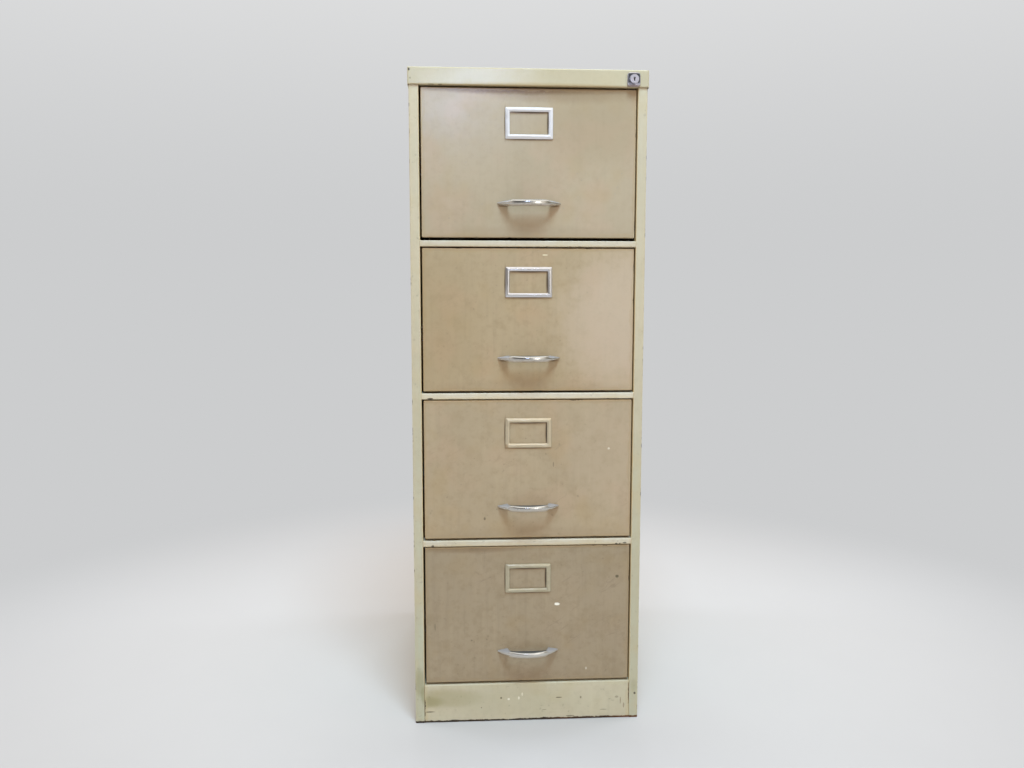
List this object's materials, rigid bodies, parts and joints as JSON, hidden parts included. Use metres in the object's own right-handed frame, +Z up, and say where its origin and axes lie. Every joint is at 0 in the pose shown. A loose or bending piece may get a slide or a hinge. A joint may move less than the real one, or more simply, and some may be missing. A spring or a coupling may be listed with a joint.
{
  "type": "filing cabinet",
  "caption": "Tall steel filing cabinet with full-extension drawers on telescopic roller runners, bow handles, label frames and a push lock that bars every drawer.",
  "frame": {"origin": "on the floor, under the middle of the outline with the handles", "axes": "+Z up, the drawers open towards -Y, +X to the right for someone who faces the drawers"},
  "size_m": [0.469, 0.646, 1.321],
  "materials": {
    "case_paint": "worn semi-gloss cream paint",
    "front_paint": "worn semi-gloss coffee-beige paint",
    "drawer_paint": "satin cream-grey paint",
    "handle_chrome": "polished, a little dulled",
    "label_chrome": "polished, dulled",
    "label_yellowed": "yellowed lacquer",
    "label_bronze": "dull bronze",
    "lock_chrome": "polished",
    "zinc": "zinc plated",
    "nylon": "moulded"
  },
  "bodies": {
    "case": {"left_side": "case_paint", "right_side": "case_paint", "back_panel": "case_paint", "top_cap": "case_paint", "base_pan": "case_paint", "plinth": "case_paint", "divider_rail_1": "case_paint", "divider_rail_2": "case_paint", "divider_rail_3": "case_paint", "uprights": "zinc", "lock_housing": "lock_chrome", "lock_spring": "zinc", "case_channels_1": "zinc", "case_channels_2": "zinc", "case_channels_3": "zinc", "case_channels_4": "zinc"},
    "drawer_1": {"drawer_front_1": "front_paint", "drawer_body_1": "drawer_paint", "label_frame_1": "label_chrome", "handle_1": "handle_chrome", "handle_screws_1": "zinc", "file_rails_1": "zinc", "drawer_channels_1": "zinc", "lock_catch_1": "zinc"},
    "cradle_1": {"cradles_1": "zinc", "cradle_rollers_1": "nylon"},
    "drawer_2": {"drawer_front_2": "front_paint", "drawer_body_2": "drawer_paint", "label_frame_2": "label_chrome", "handle_2": "handle_chrome", "handle_screws_2": "zinc", "file_rails_2": "zinc", "drawer_channels_2": "zinc", "lock_catch_2": "zinc"},
    "cradle_2": {"cradles_2": "zinc", "cradle_rollers_2": "nylon"},
    "drawer_3": {"drawer_front_3": "front_paint", "drawer_body_3": "drawer_paint", "label_frame_3": "label_yellowed", "handle_3": "handle_chrome", "handle_screws_3": "zinc", "file_rails_3": "zinc", "drawer_channels_3": "zinc", "lock_catch_3": "zinc"},
    "cradle_3": {"cradles_3": "zinc", "cradle_rollers_3": "nylon"},
    "drawer_4": {"drawer_front_4": "front_paint", "drawer_body_4": "drawer_paint", "label_frame_4": "label_bronze", "handle_4": "handle_chrome", "handle_screws_4": "zinc", "file_rails_4": "zinc", "drawer_channels_4": "zinc", "lock_catch_4": "zinc"},
    "cradle_4": {"cradles_4": "zinc", "cradle_rollers_4": "nylon"},
    "lock_barrel": {"lock_barrel": "lock_chrome"},
    "lock_plug": {"lock_plug": "lock_chrome"},
    "lock_bar": {"lock_bar": "zinc", "lock_hooks": "zinc"}
  },
  "joints": [
    {"name": "drawer_1_slide", "type": "slide", "parent": "case", "child": "drawer_1", "axis": [0, -1, 0], "range_m": [0, 0.542]},
    {"name": "cradle_1_slide", "type": "slide", "parent": "case", "child": "cradle_1", "axis": [0, -1, 0], "range_m": [0, 0.271]},
    {"name": "drawer_2_slide", "type": "slide", "parent": "case", "child": "drawer_2", "axis": [0, -1, 0], "range_m": [0, 0.542]},
    {"name": "cradle_2_slide", "type": "slide", "parent": "case", "child": "cradle_2", "axis": [0, -1, 0], "range_m": [0, 0.271]},
    {"name": "drawer_3_slide", "type": "slide", "parent": "case", "child": "drawer_3", "axis": [0, -1, 0], "range_m": [0, 0.542]},
    {"name": "cradle_3_slide", "type": "slide", "parent": "case", "child": "cradle_3", "axis": [0, -1, 0], "range_m": [0, 0.271]},
    {"name": "drawer_4_slide", "type": "slide", "parent": "case", "child": "drawer_4", "axis": [0, -1, 0], "range_m": [0, 0.542]},
    {"name": "cradle_4_slide", "type": "slide", "parent": "case", "child": "cradle_4", "axis": [0, -1, 0], "range_m": [0, 0.271]},
    {"name": "lock_push", "type": "slide", "parent": "case", "child": "lock_barrel", "axis": [0, 1, 0], "range_m": [0, 0.008], "stiffness_N_per_m": 500, "springref_m": -0.012, "deforming": ["lock_spring"]},
    {"name": "lock_bar_drop", "type": "slide", "parent": "case", "child": "lock_bar", "axis": [0, 0, -1], "range_m": [0, 0.008]},
    {"name": "key_turn", "type": "hinge", "parent": "lock_barrel", "child": "lock_plug", "pos_m": [0.2037, -0.309, 1.3015], "axis": [0, 1, 0], "range_deg": [0, 90]}
  ],
  "couplings": [
    {"joint": "cradle_1_slide", "follows": "drawer_1_slide", "ratio": 0.5},
    {"joint": "cradle_2_slide", "follows": "drawer_2_slide", "ratio": 0.5},
    {"joint": "cradle_3_slide", "follows": "drawer_3_slide", "ratio": 0.5},
    {"joint": "cradle_4_slide", "follows": "drawer_4_slide", "ratio": 0.5},
    {"joint": "lock_bar_drop", "follows": "lock_push", "ratio": 1}
  ]
}
